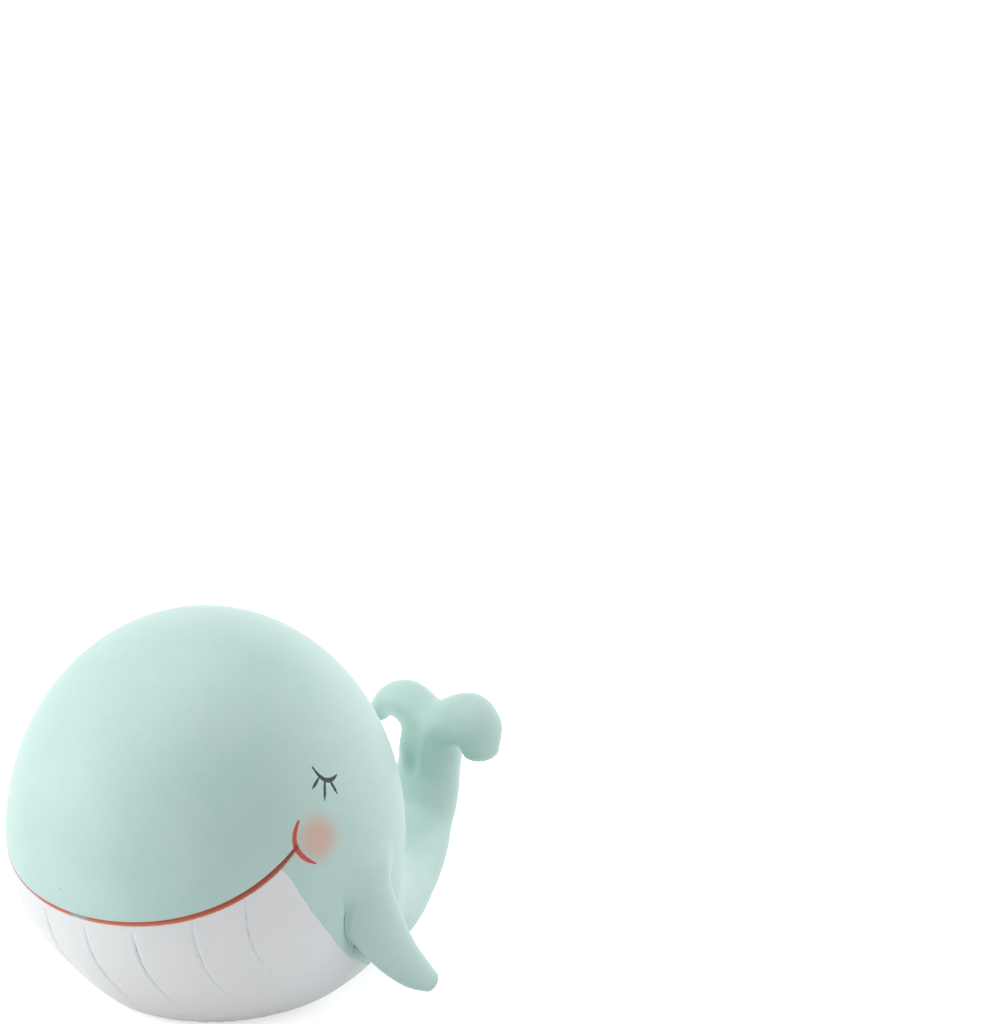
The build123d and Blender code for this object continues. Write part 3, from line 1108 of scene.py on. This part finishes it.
@dataclass
class WhaleTail:
    """The tail stock and the two drooping lobes of the fluke."""

    neck_y: float = 79.0
    neck_z: float = 41.0
    low_fillet: float = 9.0
    high_fillet: float = 14.0
    stock_widths: tuple[float, ...] = (38.0, 30.6, 19.7, 11.0, 7.7)
    stock_depths: tuple[float, ...] = (18.5, 15.3, 12.0, 8.2, 6.3)
    lobe_widths: tuple[float, ...] = (6.4, 7.0, 7.8, 7.0, 4.9)
    lobe_depths: tuple[float, ...] = (6.6, 5.8, 5.0, 4.2, 3.0)
    right_widths: tuple[float, ...] = (6.0, 5.6, 5.2, 4.4, 3.2)
    right_depths: tuple[float, ...] = (6.8, 6.4, 5.6, 3.9, 2.6)
    droop: float = 2.2
    longer: float = 1.8
    root_tip: Triple = (0, 38, 27)
    skin_box: tuple[Triple, Triple] = ((-58.0, -14.0, -0.8), (58.0, 92.0, 68.0))
    skin_step: float = 1.2

    def stock(self) -> Limb:
        """The tail from inside the body to the neck."""
        path = [(0, 23, 19), (0, 49, 8.3), (0, self.neck_y, 15.5), (0, self.neck_y, self.neck_z)]
        shares = [0, 0.25, 0.5, 0.75, 1]
        return Limb(path, shares, list(self.stock_widths), list(self.stock_depths), (1, 0, 0), 48)

    def lobe(self, side: Side) -> Limb:
        """One lobe; the right one is longer and thinner, and droops more.

        Args:
            side: the lobe's side.

        Returns:
            The lobe's form.
        """
        s, right = side.value, side is Side.RIGHT
        lower, more = (self.droop, self.longer) if right else (0.0, 0.0)
        path = [(1.2 * s, self.neck_y, self.neck_z),
                (1.5 * s, self.neck_y + 2.2, self.neck_z + 8.2 - lower / 2),
                ((12.6 + more) * s, self.neck_y + 3.2, self.neck_z + 14.5 - lower),
                ((17.3 + more) * s, self.neck_y + 0.6, 45 - 0.3 * lower)]
        widths, depths, face = self.lobe_widths, self.lobe_depths, (0, 0.83, 0.55)
        if right:
            widths, depths, face = self.right_widths, self.right_depths, (0, 1, 0)
        return Limb(path, [0, 0.3, 0.6, 0.85, 1], list(widths), list(depths), face)

    def trough(self) -> Limb:
        """The hollow in front of the neck, which runs up on to the right lobe."""
        path = [(0.5, 70.4, 38), (0.3, 70.6, 44), (-3, 70.8, 48.4), (-9, 71.4, 50.4)]
        return Limb(path, [0, 0.5, 1], [2.2, 4.2, 3.0], [2.2, 3.8, 3.0], (1, 0, 0))

    def lobes(self) -> Form:
        """Both lobes of the fluke."""
        return Joined(self.lobe(Side.LEFT), self.lobe(Side.RIGHT), 3.0)

    def border(self, points: np.ndarray) -> np.ndarray:
        """How far inside the foot of the tail's fillet each point lies."""
        return 0.94 * self.fillet(points) - self.stock().distance(points)

    def fillet(self, points: np.ndarray) -> np.ndarray:
        """How far the tail's fillet spreads: little near the table and widely above."""
        return self.low_fillet + (self.high_fillet - self.low_fillet) * ease(8.0, 28.0, points[:, 2])

    def form(self, egg: Egg) -> Form:
        """The body with the tail on it."""
        tail = Joined(Joined(egg, self.stock(), self.fillet), self.lobes(), 3.0)
        return Hollowed(tail, self.trough(), 2.5)

    def build(self, body: WhaleBody, finishes: dict[str, bpy.types.Material], fins: "list[WhaleFin]") -> None:
        """Makes the tail stock and the fluke.

        Args:
            body: the body that the tail grows from.
            finishes: the materials, by slot.
            fins: the fins, in front of which the tail gets painted shade.
        """
        skin = self.form(body.egg).skin(*self.skin_box, self.skin_step)
        tail = skin.kept(np.maximum(self.border(skin.points), 6.0 - self.lobes().distance(skin.points)))
        tail.points[:, 2] = np.maximum(tail.points[:, 2], body.egg.base_z)
        past_neck = np.maximum(np.abs(tail.points[:, 0]) - 9, 0)
        rise = tail.points[:, 2] - self.neck_z + 1.5 * past_neck
        rise = np.where(tail.points[:, 1] > self.neck_y - 15, rise, -1.0)
        neck = (0, self.neck_y, self.neck_z)
        self.finish("painted_tail_stock", tail.kept(-rise), body, finishes, fins, [self.root_tip, neck])
        self.finish("painted_tail_fluke", tail.kept(rise), body, finishes, fins, [neck])

    def finish(self, name: str, skin: Skin, body: WhaleBody, finishes: dict[str, bpy.types.Material],
               fins: "list[WhaleFin]", tips: list[Triple]) -> None:
        """Closes one piece of the tail and dresses it.

        Args:
            name: the piece's name.
            skin: its outer surface.
            body: the body that it merges with.
            finishes: the materials, by slot.
            fins: the fins that stand against the tail.
            tips: where its open ends are closed.
        """
        points = skin.points
        share = ease(0.0, 4.0, self.border(points))[:, None]
        share[points[:, 2] > self.neck_z - 6] = 1
        normal = skin.normals() * share + body.egg.normal(points) * (1 - share)
        normal /= np.linalg.norm(normal, axis=1, keepdims=True)
        shade = np.max([fin.shade(points) for fin in fins], 0)
        # Painted shade: darker in the trough in front of the neck and in the angle in front of each fin.
        marks = {
            "hollow": np.maximum(0.5 * ease(3.0, -0.3, self.trough().distance(points)), shade),
            "lap": np.clip(0.5 + body.throat_level(points) / 4, 0, 1),
        }
        node = name.removeprefix("painted_")
        make_piece(name, skin.capped(tips), finishes["mint_paint"], [node], marks, normal)


@dataclass
class WhaleFin:
    """A paddle fin on the flank, undercut in front and smooth behind."""

    side: Side
    widths: tuple[float, ...] = (9.2, 7.8, 5.8, 4.4, 3.0)
    thicknesses: tuple[float, ...] = (5.0, 4.8, 4.2, 3.3, 2.3)
    path: tuple[Triple, ...] = ((45.5, 7.3, 39.6), (49.4, 9.8, 32.6), (50.0, 14.4, 18.6), (51.7, 27.6, 8.9))
    root_tip: Triple = (34.0, 14.0, 28.0)
    skin_box: tuple[Triple, Triple] = ((22.0, -10.0, 0.5), (62.0, 46.0, 58.0))
    skin_step: float = 0.9

    def form(self, side: Side) -> Limb:
        """The fin on its own.

        Args:
            side: the fin's side.

        Returns:
            The fin's form.
        """
        s = side.value
        path = [(x * s, y, z) for x, y, z in self.path]
        shares = [0, 0.4, 0.7, 0.9, 1]
        return Limb(path, shares, list(self.widths), list(self.thicknesses), (0, 0.8, 0.6), 16)

    @staticmethod
    def fillet(points: np.ndarray) -> np.ndarray:
        """How far the fillet spreads: hardly in front of the fin, and softly above and behind it."""
        return 0.8 + 2.4 * ease(10.0, 22.0, points[:, 1]) + 5.0 * ease(34.0, 46.0, points[:, 2])

    @staticmethod
    def front(points: np.ndarray) -> np.ndarray:
        """Share of the painted shade that lies in front of the fin."""
        return ease(13.0, 7.0, points[:, 1] - 0.6 * (30 - points[:, 2])) * ease(41.0, 35.0, points[:, 2])

    def shade(self, points: np.ndarray) -> np.ndarray:
        """Share of painted shade in the angle between the fin and the body.

        Args:
            points: points on the body or the tail.

        Returns:
            The share, in a thin line above that widens to a wedge below.
        """
        touch = self.form(self.side).distance(points)
        spread = 1.3 + 2.6 * ease(29.0, 19.0, points[:, 2])
        return 0.9 * np.clip(1 - touch / spread, 0, 1) * self.front(points)

    def build(self, body: Form, finishes: dict[str, bpy.types.Material]) -> None:
        """Makes the fin.

        Args:
            body: the body and tail that it stands on.
            finishes: the materials, by slot.
        """
        fin = self.form(Side.LEFT)
        form = Joined(body, fin, self.fillet)
        skin = form.skin(*self.skin_box, self.skin_step)
        skin = skin.kept(0.94 * self.fillet(skin.points) - fin.distance(skin.points))
        points = skin.points
        share = ease(0.0, 0.3, 0.94 - fin.distance(points) / self.fillet(points))[:, None]
        normal = skin.normals() * share + body.normal(points) * (1 - share)
        normal /= np.linalg.norm(normal, axis=1, keepdims=True)
        # Painted shade on the fin's own root, in front, where it meets the body.
        edge = ease(1.3, 0.0, body.distance(points)) * self.front(points)
        closed = skin.capped([self.root_tip])
        if self.side is Side.RIGHT:
            closed = Skin(closed.points * (-1, 1, 1), closed.faces[:, ::-1])
            normal = normal * (-1, 1, 1)
        name = f"painted_{self.side.word}_fin"
        make_piece(name, closed, finishes["mint_paint"], [f"{self.side.word}_fin"],
                   {"hollow": 0.6 * edge}, normal)


@dataclass
class Underside:
    """The felt pad, and the plug and pins that stay out of sight."""

    pad_radius: float = 22.0
    pad_thickness: float = 1.0
    edge_round: float = 0.35
    spokes: int = 144

    def pad(self, finishes: dict[str, bpy.types.Material]) -> None:
        """Makes the felt pad, with an edge that the scissors left slightly uneven.

        Args:
            finishes: the materials, by slot.
        """
        turn = np.linspace(0, 2 * math.pi, self.spokes, endpoint=False)
        uneven = 0.12 * np.sin(5 * turn + 0.4) + 0.08 * np.sin(13 * turn + 1.7) + 0.05 * np.sin(31 * turn)
        rings = []
        profile = (
            (12.0, 0.0), (4.0, 0.0), (self.edge_round, 0.0), (0.1, 0.12), (0.0, 0.5),
            (0.1, 0.88), (self.edge_round, 1.0), (4.0, 1.0), (12.0, 1.0))
        for inset, z in profile:
            reach = self.pad_radius - 0.25 - inset + uneven * (inset < 5)
            rings.append(np.stack([reach * np.cos(turn), reach * np.sin(turn), np.full(self.spokes, z)], 1))
        rows = np.arange(len(rings) - 1)[:, None] * self.spokes
        here, following = np.arange(self.spokes), (np.arange(self.spokes) + 1) % self.spokes
        low, low_next = rows + here, rows + following
        high, high_next = low + self.spokes, low_next + self.spokes
        lower = np.stack([low, low_next, high_next], -1).reshape(-1, 3)
        upper = np.stack([low, high_next, high], -1).reshape(-1, 3)
        sheet = Skin(np.vstack(rings), np.vstack([lower, upper]))
        closed = sheet.capped([(0, 0, 0.0), (0, 0, self.pad_thickness)])
        make_piece("felt_pad", closed, finishes["felt"], ["base_pad"], {})

    def build(self, finishes: dict[str, bpy.types.Material]) -> None:
        """Makes the pad and dresses the plug and the pins.

        Args:
            finishes: the materials, by slot.
        """
        self.pad(finishes)
        for name, slot in (("base_plug", "bare_resin"), ("tail_pin", "pin_steel"), ("fluke_pin", "pin_steel"),
                           ("left_fin_pin", "pin_steel"), ("right_fin_pin", "pin_steel")):
            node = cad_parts[name]
            node.data.materials.clear()
            node.data.materials.append(finishes[slot])
            LOG.info("%s: dressed as %s", name, slot)


@dataclass(frozen=True)
class Lamp:
    """A round soft lamp, placed from the whale in the photograph's own directions, in metres and watts."""

    name: str
    to_right: float
    upwards: float
    to_viewer: float
    power: float
    size: float = 0.8


@dataclass
class Studio:
    """A white table in soft light, and the camera."""

    azimuth: float = 46.0
    elevation: float = 24.0
    distance: float = 5.5
    frame_height: float = 0.256
    centre: Triple = (0.0, 0.0, 0.042)
    aim_right: float = 0.07125
    aim_up: float = 0.0795
    table_half: float = 3.0
    world_light: float = 0.49
    lamps: tuple[Lamp, ...] = (
        Lamp("left_window", -0.85, 0.05, 0.15, 4.5),
        Lamp("left_back_window", -0.70, 0.35, -0.45, 0.6),
        Lamp("top_window", -0.10, 0.90, -0.15, 2.9),
        Lamp("right_window", 0.85, 0.30, 0.0, 1.25),
        Lamp("right_back_window", 0.70, 0.25, -0.45, 1.85),
        Lamp("back_window", 0.10, 0.50, -0.80, 0.8),
    )

    def axes(self) -> tuple[Vector, Vector, Vector]:
        """The photograph's own directions.

        Returns:
            Right, up and towards the viewer.
        """
        turn, lift = math.radians(self.azimuth), math.radians(self.elevation)
        towards = Vector((math.sin(turn) * math.cos(lift), -math.cos(turn) * math.cos(lift), math.sin(lift)))
        right = Vector((math.cos(turn), math.sin(turn), 0))
        return right, towards.cross(right), towards

    def build(self) -> None:
        """Sets up the camera, the table and the light."""
        scene = bpy.context.scene
        scene.view_settings.view_transform = "Standard"
        self.camera(scene)
        self.table(scene)
        self.light(scene)

    def camera(self, scene: bpy.types.Scene) -> None:
        """Adds the camera, with a long lens that looks past the whale.

        Args:
            scene: the scene that gets it.
        """
        right, up, towards = self.axes()
        centre = Vector(self.centre)
        data = bpy.data.cameras.new("camera")
        data.sensor_fit = "VERTICAL"
        data.sensor_height = 36.0
        data.lens = data.sensor_height * self.distance / self.frame_height
        data.clip_end = 50.0
        camera = bpy.data.objects.new("camera", data)
        camera.location = centre + towards * self.distance
        target = centre + right * self.aim_right + up * self.aim_up
        back = (camera.location - target).normalized()
        level = (right - back * right.dot(back)).normalized()
        camera.rotation_euler = Matrix((level, back.cross(level), back)).transposed().to_euler()
        scene.collection.objects.link(camera)
        scene.camera = camera

    @staticmethod
    def seen(tree: bpy.types.NodeTree) -> bpy.types.NodeSocket:
        """Where the surroundings are looked at, straight or in a reflection, and don't only give light.

        Args:
            tree: the node tree that asks.

        Returns:
            An output that is 1 there and 0 elsewhere.
        """
        rays = add_node(tree, "ShaderNodeLightPath", {}).outputs
        mirrored = add_node(tree, "ShaderNodeMath", {
            0: rays["Is Camera Ray"], 1: rays["Is Glossy Ray"]}, operation="MAXIMUM")
        return add_node(tree, "ShaderNodeMath", {
            0: mirrored.outputs[0], 1: rays["Is Transmission Ray"]}, operation="MAXIMUM").outputs[0]

    def table(self, scene: bpy.types.Scene) -> None:
        """Adds the white table top, which keeps the shadow.

        Args:
            scene: the scene that gets it.
        """
        half = self.table_half
        corners = [(-half, -half, 0), (half, -half, 0), (half, half, 0), (-half, half, 0)]
        mesh = bpy.data.meshes.new("table_top")
        mesh.from_pydata(corners, [], [(0, 1, 2, 3)])
        material, tree = new_tree("white_laminate")
        # Laminate is even, with a grain too faint to see from here.
        place = add_node(tree, "ShaderNodeTexCoord", {}).outputs["Object"]
        grain = add_node(tree, "ShaderNodeTexNoise", {"Vector": place, "Scale": 1 / (2.0 * MM)})
        tone = add_node(tree, "ShaderNodeMix", {
            0: grain.outputs[0], 6: (0.85, 0.85, 0.85, 1), 7: (0.87, 0.87, 0.87, 1)}, data_type="RGBA")
        white = add_node(tree, "ShaderNodeBsdfDiffuse", {"Color": tone.outputs[2]})
        glow = add_node(tree, "ShaderNodeEmission", {"Color": (1, 1, 1, 1), "Strength": 0.6})
        lit = add_node(tree, "ShaderNodeAddShader", {0: white.outputs[0], 1: glow.outputs[0]})
        mixed = add_node(tree, "ShaderNodeMixShader", {
            0: self.seen(tree), 1: white.outputs[0], 2: lit.outputs[0]})
        add_node(tree, "ShaderNodeOutputMaterial", {0: mixed.outputs[0]})
        mesh.materials.append(material)
        floor = bpy.data.objects.new("table_top", mesh)
        scene.collection.objects.link(floor)

    def light(self, scene: bpy.types.Scene) -> None:
        """Adds the soft windows of light and the pale surroundings.

        Args:
            scene: the scene that gets them.
        """
        right, _, towards = self.axes()
        centre = Vector(self.centre)
        for lamp in self.lamps:
            data = bpy.data.lights.new(lamp.name, "AREA")
            data.shape = "DISK"
            data.size = lamp.size
            data.energy = lamp.power
            window = bpy.data.objects.new(lamp.name, data)
            sideways = right * lamp.to_right + towards * lamp.to_viewer
            window.location = centre + sideways + Vector((0, 0, lamp.upwards))
            window.rotation_euler = (centre - window.location).to_track_quat("-Z", "Y").to_euler()
            scene.collection.objects.link(window)
        world = bpy.data.worlds.new("light_tent")
        world.use_nodes = True
        tree = world.node_tree
        tree.nodes.clear()
        ambient = add_node(tree, "ShaderNodeBackground", {
            "Color": (0.97, 0.98, 1, 1), "Strength": self.world_light})
        backdrop = add_node(tree, "ShaderNodeBackground", {"Color": (1, 1, 1, 1), "Strength": 1.0})
        mixed = add_node(tree, "ShaderNodeMixShader", {
            0: self.seen(tree), 1: ambient.outputs[0], 2: backdrop.outputs[0]})
        add_node(tree, "ShaderNodeOutputWorld", {0: mixed.outputs[0]})
        scene.world = world


def main() -> None:
    """Builds the studio and the whale, piece by piece."""
    logging.basicConfig(level=logging.INFO, format="%(name)s: %(message)s", stream=sys.stdout)
    Studio().build()
    mint, white = ("#b9d7d0", "#c3ded8", "#8fbdac"), ("#e6e8e9", "#ecedee", "#cfd4d4")
    face_paints = {
        "mint_paint": BrushedAcrylic("matt_mint_acrylic_with_face", *mint, True).material(),
        "white_paint": BrushedAcrylic("matt_white_acrylic_with_face", *white, True).material(),
    }
    finishes = {
        "mint_paint": BrushedAcrylic("matt_mint_acrylic", *mint, False).material(),
        "felt": PressedFelt().material(),
        "bare_resin": CastResin().material(),
        "pin_steel": DrawnSteel().material(),
    }
    body, tail = WhaleBody(), WhaleTail()
    fins = [WhaleFin(side) for side in Side]
    body.build(face_paints, fins)
    tail.build(body, finishes, fins)
    for fin in fins:
        fin.build(Joined(body.egg, tail.stock(), tail.fillet), finishes)
    Underside().build(finishes)
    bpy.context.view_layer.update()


if __name__ == "__main__":
    main()
